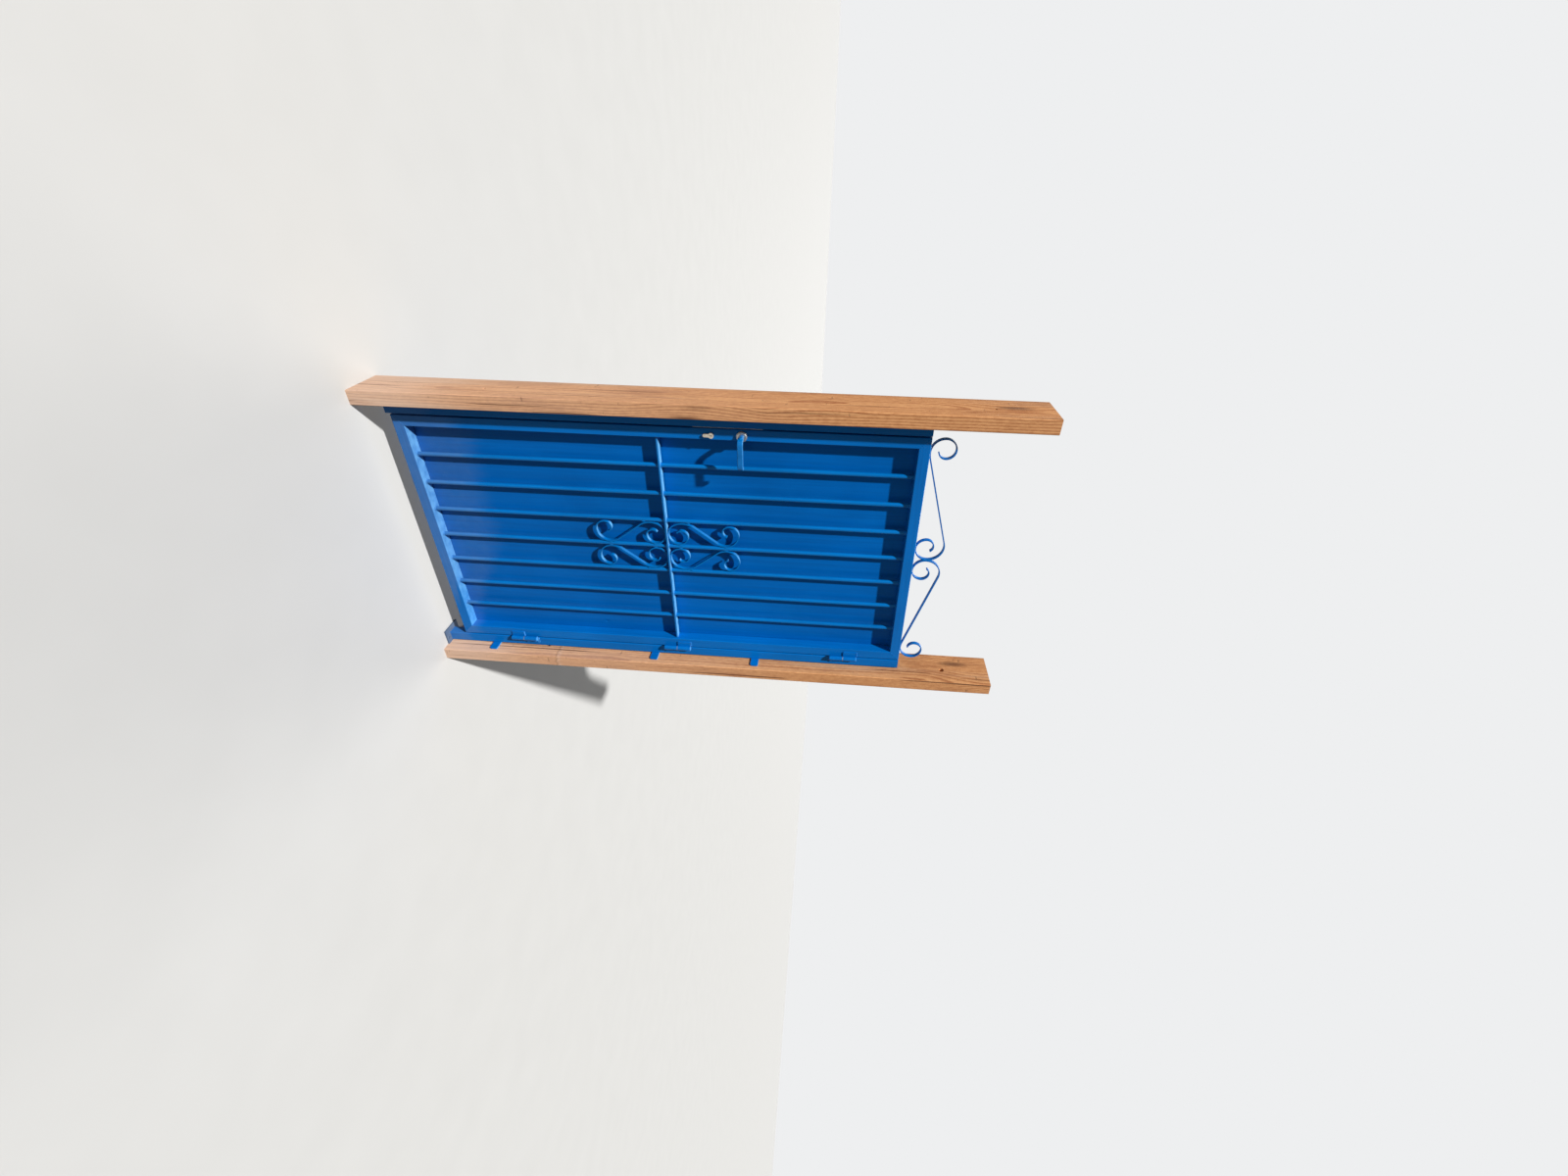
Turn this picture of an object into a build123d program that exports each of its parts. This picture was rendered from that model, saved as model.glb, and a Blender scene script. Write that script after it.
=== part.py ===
from build123d import *
import os
from math import asin, atan2, ceil, cos, degrees, hypot, radians, sin, sqrt

# Painted steel yard gate with scrollwork, hung between two timber jambs.
# Millimetres. X runs to the right seen from outside, Y runs inwards, Z is up from the floor.
# The pieces are drawn with X = 0 on the middle of the leaf and Y = 0 on its front plane.

# Leaf frame
leaf_width = 850.0
leaf_height = 1640.0
tube_face = 35.0
tube_depth = 40.0
tube_wall = 1.5
tube_corner = 2.5
floor_gap = 70.0

# Posts, stop and foot
side_gap = 4.0
post_face = 35.0
post_depth = 35.0
post_wall = 2.0
cap_thickness = 2.0
lock_post_drop = 12.0
stop_clearance = 0.3
stop_thickness = 4.0
stop_lap = 7.0
foot_thickness = 5.0
foot_side_margin = 17.0
foot_front_margin = 23.0
anchor_radius = 4.5

# Timber jambs
jamb_thickness = 45.0
jamb_depth = 150.0
jamb_height = 2043.0
jamb_arris = 3.0
jamb_bolt_depth = 10.0
jamb_bolt_radius = 5.0
jamb_sink_radius = 9.0
jamb_sink_depth = 10.0
jamb_bolt_heights = (386.0, 1874.0)

# Fixing lugs and their wood screws
lug_thickness = 5.0
lug_height = 28.0
lug_front_reach = 36.0
lug_back_reach = 34.0
lug_heights = (185.0, 803.0, 1181.0)
lug_screw_reach = 22.0
screw_shank_radius = 2.25
screw_head_radius = 4.5
screw_length = 34.0
screw_play = 0.1

# Sheet on the back of the leaf
sheet_thickness = 1.5
sheet_edge_inset = 4.0
sheet_stop_gap = 2.0
rivet_radius = 1.6
rivet_head_radius = 4.5
rivet_head_height = 1.6
rivet_pitch = 190.0

# Upright bars and the flat cross bar
bar_count = 7
bar_diameter = 14.0
cross_depth = 25.0
cross_thickness = 5.0
cross_height = 890.0
cross_hole_clearance = 0.15

# Scrollwork, flat strip on edge
strip_thickness = 4.0
strip_width = 12.0
scroll_height = 240.0
scroll_side_angle = 24.0
scroll_upper_end = 80.0
scroll_lower_end = 60.0
crown_side_inset = 5.0
crown_stroke_radii = (80.0, 50.0)
crown_outer_radii = (42.0, 34.0, 28.0, 23.0)
crown_inner_radii = (41.0, 33.0, 24.0, 20.0)
crown_outer_end = 80.0
crown_inner_end = 60.0

# Barrel hinges
barrel_diameter = 18.0
barrel_half = 49.0
barrel_standoff = 0.3
barrel_dome = 2.5
pin_diameter = 10.0
pin_play = 0.05
pin_length = 82.0
washer_thickness = 2.0
wing_reach = 24.0
wing_thickness = 4.0
hinge_heights = (306.0, 892.0, 1506.0)

# Lock, measured from the leaf's lock edge and the lever's axis
backset = 20.0
lever_height = 1152.0
lock_centres = 92.0
face_plate_thickness = 2.0
face_plate_width = 22.0
face_plate_margin = 22.0
case_thickness = 15.0
case_margin = 10.0
case_play = 0.25
latch_offset = 21.5
latch_tall = 16.0
latch_thick = 10.0
latch_entry = 8.0
latch_length = 34.0
latch_notch = 5.9
latch_notch_back = 2.3
latch_notch_depth = 3.5
dead_offset = 29.0
dead_tall = 30.0
dead_thick = 10.0
dead_length = 22.0
bolt_play = 0.3
window_play = 0.8
follower_radius = 9.0
follower_arm = 16.0
follower_lean = 20.0
follower_play = 0.1
spindle_side = 8.0
machine_screw_radius = 2.0

# Profile cylinder
cylinder_reach = 7.0
cylinder_head_radius = 8.5
cylinder_web = 10.0
cylinder_tall = 33.0
plug_radius = 6.5
plug_play = 0.1
cam_radius = 13.0
cam_width = 9.0
cam_play = 0.4
cylinder_play = 0.2
keyway_width = 2.4
keyway_tall = 8.0
keyway_depth = 6.0
cylinder_screw_radius = 2.5

# Levers and roses
rose_radius = 16.5
rose_thickness = 8.0
rose_edge = 2.5
neck_radius = 8.0
neck_play = 0.1
lever_standoff = 44.0
lever_length = 93.0
lever_tall = 17.0
lever_thick = 10.0
lever_bend = 14.0
lever_return_bend = 9.0
lever_return = 4.0
lever_edge = 2.5

# Places that follow from the sizes above
inner_width = leaf_width - 2 * tube_face
leaf_side = leaf_width / 2
leaf_bottom = floor_gap
leaf_top = floor_gap + leaf_height
bar_pitch = inner_width / (bar_count + 1)
bar_radius = bar_diameter / 2
bar_plane = tube_depth / 2
post_inner = leaf_side + side_gap
post_outer = post_inner + post_face
jamb_face = post_outer + lug_thickness
post_middle_x = (post_inner + post_outer) / 2
hinge_axis_x = leaf_side + side_gap / 2
hinge_axis_y = -(barrel_diameter / 2 + barrel_standoff)
cross_top = cross_height + cross_thickness / 2
lock_edge = -leaf_side
lock_axis_x = lock_edge + backset
key_height = lever_height - lock_centres
latch_height = lever_height + latch_offset
dead_height = key_height + dead_offset
plate_left = lock_edge - face_plate_thickness
case_width = tube_face - tube_wall - 2 * case_play
latch_tip = lock_edge - side_gap - latch_entry
case_bottom = key_height - cylinder_tall + cylinder_head_radius - case_margin
case_top = latch_height + latch_tall / 2 + case_margin
sheet_back = tube_depth + sheet_thickness
lock_post_depth = tube_depth + stop_clearance
lock_post_bottom = leaf_bottom - lock_post_drop
sheet_left = lock_edge + stop_lap + sheet_stop_gap
jamb_front = bar_plane - jamb_depth / 2
jamb_back = bar_plane + jamb_depth / 2
rivet_left = lock_edge + tube_face - 2 * rivet_head_radius


# Helpers

def block(x0, x1, y0, y1, z0, z1):
    """Rectangular block between two corners."""
    return Pos((x0 + x1) / 2, (y0 + y1) / 2, (z0 + z1) / 2) * Box(x1 - x0, y1 - y0, z1 - z0)


def prism_y(sketch, y0, y1):
    """Outline drawn across X and Z, carried from y0 to y1."""
    return extrude(Plane.XZ.offset(-y1) * sketch, amount=y1 - y0)


def prism_z(sketch, z0, z1):
    """Outline drawn across X and Y, carried from z0 to z1."""
    return extrude(Plane.XY.offset(z0) * sketch, amount=z1 - z0)


def rod(radius, start, end):
    """Round bar between two points on one axis direction."""
    a, b = Vector(*start), Vector(*end)
    return extrude(Plane(a, z_dir=b - a) * Circle(radius), amount=(b - a).length)


def turned(points, origin, direction):
    """Solid of revolution: points are (radius, distance along the axis)."""
    outline = make_face(Polyline(*[(r, h) for r, h in points], close=True))
    base = Plane(origin, z_dir=direction)
    upright = Plane(origin, x_dir=base.x_dir, z_dir=-base.y_dir)
    return revolve(upright * outline, axis=Axis(origin, direction))


def square_tube(face, depth, wall, corner, z0, z1):
    """Rounded box section, upright, centred on X and Y."""
    outside = RectangleRounded(face, depth, corner)
    inside = RectangleRounded(face - 2 * wall, depth - 2 * wall, max(corner - wall, 0.4))
    return prism_z(outside - inside, z0, z1)


def mirrored_x(solid):
    return mirror(solid, about=Plane.YZ)


def countersunk_screw(origin, direction, length, shank, head, play=0.0):
    """Flat head screw, its head flush with the origin; with some play it is the screw's hole."""
    sink, shank, head, length = head - shank, shank + play, head + play, length + play
    points = [(0, 0), (head, 0), (shank, sink), (shank, length - shank), (0, length)]
    return turned(points, origin, direction)


# Bent strip

def walk(point, heading, steps):
    """Joints of a path of straight runs (length, 0) and arcs (radius, turn), headings in degrees."""
    joints = [(point, heading)]
    (x, z), angle = point, radians(heading)
    for size, turn in steps:
        bend = radians(turn)
        if turn == 0:
            x, z = x + size * cos(angle), z + size * sin(angle)
        else:
            side = size if turn > 0 else -size
            x += side * (sin(angle + bend) - sin(angle))
            z -= side * (cos(angle + bend) - cos(angle))
            angle += bend
        joints.append(((x, z), degrees(angle)))
    return joints


def beside(point, heading, distance):
    """Point at a distance to the left of the heading."""
    angle = radians(heading)
    return (point[0] - distance * sin(angle), point[1] + distance * cos(angle))


def strip_face(start, heading, steps, thickness):
    """Outline of a strip of constant thickness that follows the path."""
    joints = walk(start, heading, steps)
    sides = []
    for half in (thickness / 2, -thickness / 2):
        edges = []
        for (here, aim), (there, next_aim), (size, turn) in zip(joints, joints[1:], steps):
            first, last = beside(here, aim, half), beside(there, next_aim, half)
            if turn == 0:
                edges.append(Line(first, last))
            else:
                centre, middle_aim = walk(here, aim, [(size, turn / 2)])[-1]
                edges.append(ThreePointArc(first, beside(centre, middle_aim, half), last))
        sides.append(edges)
    caps = []
    for point, aim in (joints[0], joints[-1]):
        caps.append(Line(beside(point, aim, thickness / 2), beside(point, aim, -thickness / 2)))
    return make_face(sides[0] + sides[1] + caps)


def stroke_between(centre_a, radius_a, centre_b, radius_b, first_turn):
    """Heading and length of the straight run that joins two arcs of opposite turn."""
    dx, dz = centre_b[0] - centre_a[0], centre_b[1] - centre_a[1]
    apart = hypot(dx, dz)
    lean = degrees(asin((radius_a + radius_b) / apart))
    heading = degrees(atan2(dz, dx)) + first_turn * lean
    return heading, sqrt(apart ** 2 - (radius_a + radius_b) ** 2)


def centre_scroll():
    """Upper left S of the ornament: it sits on the cross bar and touches the bars on both sides."""
    half = strip_thickness / 2
    right = -(bar_radius + half)
    left = -(bar_pitch - bar_radius - half)
    span = right - left
    upper_side, lower_side = 0.63 * span, 0.75 * span
    upper_turns = [0.55 * span, 0.4 * span, 0.265 * span, 0.225 * span]
    first = 0.53 * span
    second = span - lower_side + (lower_side - first) * cos(radians(scroll_side_angle))
    lower_turns = [first, second, 0.83 * second, 0.61 * second, 0.47 * second]
    right_height = cross_top + scroll_height - half - upper_turns[0]
    drop = first + (lower_side - first) * sin(radians(scroll_side_angle))
    left_height = cross_top + half + drop
    upper_centre = (right - upper_side, right_height)
    lower_centre = (left + lower_side, left_height)
    heading, length = stroke_between(upper_centre, upper_side, lower_centre, lower_side, -1)
    lean = -90 - heading
    upper = [(radius, -90) for radius in reversed(upper_turns[:-1])]
    upper = [(upper_turns[-1], -scroll_upper_end)] + upper
    lower = [(radius, 90) for radius in lower_turns[1:-1]] + [(lower_turns[-1], scroll_lower_end)]
    stroke = [(upper_side, -lean), (length, 0), (lower_side, lean + scroll_side_angle),
              (first, 90 - scroll_side_angle)]
    first_heading = 180 + scroll_upper_end
    arrival = walk((0, 0), first_heading, upper)[-1][0]
    start = (right - arrival[0], right_height - arrival[1])
    face = strip_face(start, first_heading, upper + stroke + lower, strip_thickness)
    return prism_y(face, bar_plane - strip_width / 2, bar_plane + strip_width / 2)


def crown_scroll():
    """Left half of the crown: it rests on the top rail and meets its mate in the middle."""
    half = strip_thickness / 2
    rail = leaf_top + half
    rise, peak = crown_stroke_radii
    foot_x = -(leaf_side - crown_side_inset - half) + crown_outer_radii[0]
    peak_height = rail + crown_inner_radii[0]
    foot_centre = (foot_x, rail + rise)
    peak_centre = (-half - peak, peak_height)
    heading, length = stroke_between(foot_centre, rise, peak_centre, peak, 1)
    outer = [(radius, 90) for radius in reversed(crown_outer_radii[:-1])]
    outer = [(crown_outer_radii[-1], crown_outer_end)] + outer
    inner = [(radius, -90) for radius in crown_inner_radii[:-1]]
    inner = inner + [(crown_inner_radii[-1], -crown_inner_end)]
    stroke = [(rise, heading), (length, 0), (peak, -(heading + 90))]
    first_heading = 90 - crown_outer_end
    arrival = walk((0, 0), first_heading, outer)[-1][0]
    start = (foot_x - arrival[0], rail - arrival[1])
    face = strip_face(start, first_heading, outer + stroke + inner, strip_thickness)
    return prism_y(face, bar_plane - strip_width / 2, bar_plane + strip_width / 2)


# Leaf frame, mitred

def mitre_waste(x_outer, z_outer, along):
    """Corner that a 45 degree cut takes off a stile ('z') or a rail ('x')."""
    x_inner = x_outer - tube_face if x_outer > 0 else x_outer + tube_face
    z_inner = z_outer - tube_face if z_outer > cross_height else z_outer + tube_face
    third = (x_inner, z_outer) if along == "z" else (x_outer, z_inner)
    outline = make_face(Polyline((x_outer, z_outer), (x_inner, z_inner), third, close=True))
    return prism_y(outline, -1, tube_depth + 1)


def stile(side):
    section = square_tube(tube_face, tube_depth, tube_wall, tube_corner, leaf_bottom, leaf_top)
    solid = Pos(side * (leaf_side - tube_face / 2), tube_depth / 2, 0) * section
    for height in (leaf_bottom, leaf_top):
        solid -= mitre_waste(side * leaf_side, height, "z")
    return solid


def rail(height, inwards):
    section = square_tube(tube_face, tube_depth, tube_wall, tube_corner, -leaf_side, leaf_side)
    solid = Pos(0, tube_depth / 2, height + inwards * tube_face / 2) * (Rot(0, 90, 0) * section)
    for side in (-1, 1):
        solid -= mitre_waste(side * leaf_side, height, "x")
    return solid


def profile_outline(grow):
    """Euro profile: round head over a narrower web with a round foot, on the key's axis."""
    head = Circle(cylinder_head_radius + grow)
    web_half = cylinder_web / 2 + grow
    foot = cylinder_tall - cylinder_head_radius - cylinder_web / 2
    web = Pos(0, -foot / 2) * Rectangle(2 * web_half, foot)
    return Pos(lock_axis_x, key_height) * (head + web + Pos(0, -foot) * Circle(web_half))


def lock_stile():
    """Left stile with the lock's cut-outs in its edge, front and back."""
    solid = stile(-1)
    half = case_thickness / 2 + case_play
    solid -= block(lock_edge - 1, lock_edge + tube_wall + 1, bar_plane - half, bar_plane + half,
                   case_bottom - case_play, case_top + case_play)
    solid -= prism_y(profile_outline(cylinder_play), -1, tube_depth + 1)
    solid -= rod(spindle_side, (lock_axis_x, -1, lever_height), (lock_axis_x, tube_depth + 1, lever_height))
    for height in plate_screw_heights:
        solid -= plate_screw(height, screw_play)
    for point in rivet_points:
        solid -= rivet_hole(point)
    return solid


def pierced(solid):
    """The same piece with the sheet's rivet holes that fall on it."""
    for point in rivet_points:
        solid -= rivet_hole(point)
    return solid


def cross_bar():
    solid = block(-inner_width / 2, inner_width / 2, bar_plane - cross_depth / 2, bar_plane + cross_depth / 2,
                  cross_height - cross_thickness / 2, cross_top)
    for index in range(bar_count):
        x = -inner_width / 2 + (index + 1) * bar_pitch
        low, high = cross_height - cross_thickness, cross_height + cross_thickness
        solid -= rod(bar_radius + cross_hole_clearance, (x, bar_plane, low), (x, bar_plane, high))
    return solid


def upright_bar(index):
    x = -inner_width / 2 + (index + 1) * bar_pitch
    return rod(bar_radius, (x, bar_plane, leaf_bottom + tube_face), (x, bar_plane, leaf_top - tube_face))


def sheet_panel():
    """Flat sheet over the back of the leaf, pierced for the spindle and the cylinder."""
    solid = block(sheet_left, leaf_side - sheet_edge_inset, tube_depth, sheet_back,
                  leaf_bottom + sheet_edge_inset, leaf_top - sheet_edge_inset)
    solid -= prism_y(profile_outline(cylinder_play), tube_depth - 1, sheet_back + 1)
    solid -= rod(spindle_side, (lock_axis_x, tube_depth - 1, lever_height),
                 (lock_axis_x, sheet_back + 1, lever_height))
    return pierced(solid)


def spaced(first, last, pitch):
    """Even places from first to last, no further apart than the pitch."""
    count = ceil((last - first) / pitch)
    return [first + (last - first) * step / count for step in range(count + 1)]


def rivet_hole(point):
    x, z = point
    return rod(rivet_radius + screw_play, (x, tube_depth - tube_wall - 1, z), (x, sheet_back + 1, z))


def rivet(point):
    """Blind rivet: domed head on the sheet, its tail swelled behind the tube's wall."""
    x, z = point
    tail = sheet_thickness + tube_wall
    inside = tail + 2 * rivet_radius
    points = [(0, -rivet_head_height), (rivet_head_radius / 2, -rivet_head_height), (rivet_head_radius, 0),
              (rivet_radius, 0), (rivet_radius, tail), (1.4 * rivet_radius, tail + rivet_radius),
              (rivet_radius, inside), (0, inside)]
    return turned(points, (x, sheet_back, z), (0, -1, 0))


# Hinges

def barrel(z_root, z_tip):
    """Round knuckle with a domed outer end at z_tip."""
    away = 1 if z_tip > z_root else -1
    radius, length = barrel_diameter / 2, abs(z_tip - z_root)
    points = [(0, 0), (radius, 0), (radius, length - barrel_dome), (radius - barrel_dome, length), (0, length)]
    return turned(points, (hinge_axis_x, hinge_axis_y, z_root), (0, 0, away))


def knuckle(z_root, z_tip, side, bore_radius, bore_depth):
    """Knuckle with its wing welded to the face of the leaf (side -1) or the post (side 1)."""
    away = 1 if z_tip > z_root else -1
    edge = hinge_axis_x + side * side_gap / 2
    far = hinge_axis_x + side * wing_reach
    low, high = sorted((z_root, z_tip - away * barrel_dome))
    solid = barrel(z_root, z_tip) + block(min(edge, far), max(edge, far), -wing_thickness, 0, low, high)
    hole_end = z_root + away * bore_depth
    return solid - rod(bore_radius, (hinge_axis_x, hinge_axis_y, z_root - away), (hinge_axis_x, hinge_axis_y, hole_end))


def hinge_parts(height, leaf_up):
    """Leaf knuckle, post knuckle, pin and washer of one hinge."""
    sense = 1 if leaf_up else -1
    half_gap = washer_thickness / 2
    half_pin = pin_length / 2
    leaf_root, leaf_tip = height + sense * half_gap, height + sense * (half_gap + barrel_half)
    post_root, post_tip = height - sense * half_gap, height - sense * (half_gap + barrel_half)
    radius = pin_diameter / 2
    on_leaf = knuckle(leaf_root, leaf_tip, -1, radius + pin_play, half_pin - half_gap + 1)
    on_post = knuckle(post_root, post_tip, 1, radius, half_pin - half_gap)
    axis_low = (hinge_axis_x, hinge_axis_y, height - half_pin)
    axis_high = (hinge_axis_x, hinge_axis_y, height + half_pin)
    pin = rod(radius, axis_low, axis_high)
    washer = rod(barrel_diameter / 2, (hinge_axis_x, hinge_axis_y, height - half_gap),
                 (hinge_axis_x, hinge_axis_y, height + half_gap))
    washer -= rod(radius + pin_play, axis_low, axis_high)
    return on_leaf, on_post, pin, washer


# Frame pieces

def lug_screw(side, height, play=0.0):
    return countersunk_screw((side * post_outer, -lug_screw_reach, height), (side, 0, 0),
                             screw_length, screw_shank_radius, screw_head_radius, play)


def lug(side, height):
    x0, x1 = sorted((side * post_outer, side * jamb_face))
    solid = block(x0, x1, -lug_front_reach, lug_back_reach, height - lug_height / 2, height + lug_height / 2)
    front = solid.edges().filter_by(Axis.X).group_by(Axis.Y)[0]
    return fillet(front, lug_height / 5) - lug_screw(side, height, screw_play)


def jamb(side):
    """Timber jamb with its bolt holes and the pilot holes of the lug screws."""
    x0, x1 = sorted((side * jamb_face, side * (jamb_face + jamb_thickness)))
    solid = block(x0, x1, jamb_front, jamb_back, 0, jamb_height)
    solid = fillet(solid.edges().filter_by(Axis.Z), jamb_arris)
    for height in jamb_bolt_heights:
        face = (side * (jamb_face - 1), jamb_bolt_depth, height)
        floor = (side * (jamb_face + jamb_sink_depth), jamb_bolt_depth, height)
        back = (side * (jamb_face + jamb_thickness + 1), jamb_bolt_depth, height)
        solid -= rod(jamb_sink_radius, face, floor) + rod(jamb_bolt_radius, face, back)
    for height in lug_heights:
        solid -= lug_screw(side, height, screw_play)
    return solid


def hinge_post():
    section = square_tube(post_face, post_depth, post_wall, tube_corner, foot_thickness, leaf_top - cap_thickness)
    return Pos(post_middle_x, post_depth / 2, 0) * section


def foot_plate():
    solid = block(post_inner - foot_side_margin, jamb_face, -foot_front_margin,
                  post_depth + foot_front_margin, 0, foot_thickness)
    for y in (-foot_front_margin / 2, post_depth + foot_front_margin / 2):
        solid -= rod(anchor_radius, (post_middle_x, y, -1), (post_middle_x, y, foot_thickness + 1))
    return solid


def cap(x, depth, z0, z1):
    return Pos(x, depth / 2, 0) * prism_z(RectangleRounded(post_face, depth, tube_corner), z0, z1)


def bolt_window(height, tall, thick):
    """Opening in the post's wall that a bolt enters."""
    return block(-post_inner - post_face / 2, -post_inner + 1,
                 bar_plane - thick / 2 - window_play, bar_plane + thick / 2 + window_play,
                 height - tall / 2 - window_play, height + tall / 2 + window_play)


def lock_post():
    section = square_tube(post_face, lock_post_depth, post_wall, tube_corner,
                          lock_post_bottom + cap_thickness, leaf_top - cap_thickness)
    solid = Pos(-post_middle_x, lock_post_depth / 2, 0) * section
    return solid - bolt_window(latch_height, latch_tall, latch_thick) - bolt_window(dead_height, dead_tall, dead_thick)


def stop_strip():
    """Flat strip on the back of the lock post that the leaf closes on, notched beside the inner rose."""
    solid = block(-post_outer, lock_edge + stop_lap, lock_post_depth, lock_post_depth + stop_thickness,
                  lock_post_bottom, leaf_top)
    room = rose_radius + stop_lap / 2
    return solid - block(lock_edge - 1, lock_edge + stop_lap + 1, lock_post_depth - 1, sheet_back + rose_thickness,
                         lever_height - room, lever_height + room)


# Lock

def bolt_channel(height, tall, thick, right):
    return block(plate_left - 1, right, bar_plane - thick / 2 - bolt_play, bar_plane + thick / 2 + bolt_play,
                 height - tall / 2 - bolt_play, height + tall / 2 + bolt_play)


def plate_screw(height, play=0.0):
    return countersunk_screw((plate_left, bar_plane, height), (1, 0, 0), face_plate_thickness + 7,
                             machine_screw_radius, 2 * machine_screw_radius, play)


def cylinder_screw(play=0.0):
    height = key_height - (cylinder_tall - cylinder_head_radius - cylinder_web / 2)
    return countersunk_screw((plate_left, bar_plane, height), (1, 0, 0), face_plate_thickness + backset,
                             cylinder_screw_radius, 2 * cylinder_screw_radius, play)


plate_bottom = case_bottom - face_plate_margin
plate_top = case_top + face_plate_margin
plate_screw_heights = (plate_bottom + face_plate_margin / 2, plate_top - face_plate_margin / 2)
latch_channel = bolt_channel(latch_height, latch_tall, latch_thick, lock_edge + case_width + 1)
dead_channel = bolt_channel(dead_height, dead_tall, dead_thick, plate_left + dead_length + 1)


def lock_case():
    """Housing inside the lock stile, with room for the bolts, the follower and the cam."""
    y0, y1 = bar_plane - case_thickness / 2, bar_plane + case_thickness / 2
    solid = block(lock_edge, lock_edge + case_width, y0, y1, case_bottom, case_top)
    solid -= latch_channel + dead_channel
    solid -= rod(follower_radius + follower_play, (lock_axis_x, y0 - 1, lever_height),
                 (lock_axis_x, y1 + 1, lever_height))
    solid -= rod(follower_arm + 1, (lock_axis_x, bar_plane - latch_thick / 2, lever_height),
                 (lock_axis_x, bar_plane + latch_thick / 2, lever_height))
    solid -= rod(cam_radius + 2, (lock_axis_x, bar_plane - latch_thick / 2, key_height),
                 (lock_axis_x, bar_plane + latch_thick / 2, key_height))
    solid -= prism_y(profile_outline(cylinder_play), y0 - 1, y1 + 1)
    return solid - cylinder_screw(screw_play)


def face_plate():
    solid = block(plate_left, lock_edge, bar_plane - face_plate_width / 2, bar_plane + face_plate_width / 2,
                  plate_bottom, plate_top)
    solid -= latch_channel + dead_channel + cylinder_screw(screw_play)
    for height in plate_screw_heights:
        solid -= plate_screw(height, screw_play)
    return solid


def latch_bolt():
    """Spring latch, bevelled on the side it closes with and notched below for the follower's arm."""
    y0, y1 = bar_plane - latch_thick / 2, bar_plane + latch_thick / 2
    bevel = latch_entry
    outline = make_face(Polyline((latch_tip, y0), (latch_tip + bevel, y1), (latch_tip + latch_length, y1),
                                 (latch_tip + latch_length, y0), close=True))
    bottom = latch_height - latch_tall / 2
    solid = prism_z(outline, bottom, latch_height + latch_tall / 2)
    notch_right = lock_axis_x - latch_notch_back
    return solid - block(notch_right - latch_notch, notch_right, y0 - 1, y1 + 1, bottom - 1, bottom + latch_notch_depth)


def dead_bolt():
    x0 = plate_left + bolt_play
    solid = block(x0, x0 + dead_length, bar_plane - dead_thick / 2, bar_plane + dead_thick / 2,
                  dead_height - dead_tall / 2, dead_height + dead_tall / 2)
    return chamfer(solid.faces().sort_by(Axis.X)[0].edges(), 1)


def spindle_hole(y0, y1):
    half = spindle_side / 2
    return block(lock_axis_x - half, lock_axis_x + half, y0, y1, lever_height - half, lever_height + half)


def follower():
    """Hub on the spindle with the arm that draws the latch, leaning back so that it passes upright halfway."""
    y0, y1 = bar_plane - case_thickness / 2, bar_plane + case_thickness / 2
    solid = rod(follower_radius, (lock_axis_x, y0, lever_height), (lock_axis_x, y1, lever_height))
    arm = block(-2, 2, bar_plane - 4, bar_plane + 4, 0, follower_arm)
    solid += Pos(lock_axis_x, 0, lever_height) * Rot(0, -follower_lean, 0) * arm
    return solid - spindle_hole(y0 - 1, y1 + 1)


def rose(y_face, outwards):
    """Round rose with a softened edge round the lever's neck."""
    points = [(neck_radius + neck_play, 0), (rose_radius, 0), (rose_radius, rose_thickness - rose_edge),
              (rose_radius - rose_edge, rose_thickness), (neck_radius + neck_play, rose_thickness)]
    return turned(points, (lock_axis_x, y_face, lever_height), (0, outwards, 0))


def lever(y_face, outwards):
    """Lever in one piece: a round neck that turns into a flat grip, with its end returned to the leaf."""
    run = lever_length - lever_bend - lever_return_bend - lever_thick / 2
    root = lever_standoff - lever_bend - lever_thick
    steps = [(lever_thick, 0), (lever_bend, 90), (run, 0), (lever_return_bend, 90), (lever_return, 0)]
    plan = strip_face((0, -root), -90, steps, lever_thick)
    grip = prism_z(plan, -lever_tall / 2, lever_tall / 2)
    grip = fillet(grip.edges().filter_by(GeomType.CIRCLE), lever_edge)
    reach = lever_standoff - neck_radius
    neck = turned([(0, 0.3), (neck_radius, 0.3), (neck_radius, reach - neck_radius / 2),
                   (neck_radius / 2, reach + neck_radius / 4), (0, reach + neck_radius / 2)], (0, 0, 0), (0, -1, 0))
    solid = grip + neck
    solid -= block(-spindle_side / 2, spindle_side / 2, -root, 1, -spindle_side / 2, spindle_side / 2)
    if outwards > 0:
        solid = mirror(solid, about=Plane.XZ)
    return Pos(lock_axis_x, y_face, lever_height) * solid


def cylinder_body():
    """Profile cylinder, cut away in the middle for its cam."""
    solid = prism_y(profile_outline(0), -cylinder_reach, sheet_back + cylinder_reach)
    y0, y1 = bar_plane - cam_width / 2 - cam_play, bar_plane + cam_width / 2 + cam_play
    solid -= rod(plug_radius + plug_play, (lock_axis_x, -cylinder_reach - 1, key_height),
                 (lock_axis_x, sheet_back + cylinder_reach + 1, key_height))
    solid -= rod(cam_radius + cam_play, (lock_axis_x, y0, key_height), (lock_axis_x, y1, key_height))
    return solid - cylinder_screw(screw_play)


def key_plug(y_outer, y_inner):
    """Turning plug with the keyway in its outer end."""
    solid = rod(plug_radius, (lock_axis_x, y_outer, key_height), (lock_axis_x, y_inner, key_height))
    inwards = 1 if y_inner > y_outer else -1
    y0, y1 = sorted((y_outer - inwards, y_outer + inwards * keyway_depth))
    return solid - block(lock_axis_x - keyway_width / 2, lock_axis_x + keyway_width / 2, y0, y1,
                         key_height - keyway_tall / 2, key_height + keyway_tall / 2)


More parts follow.
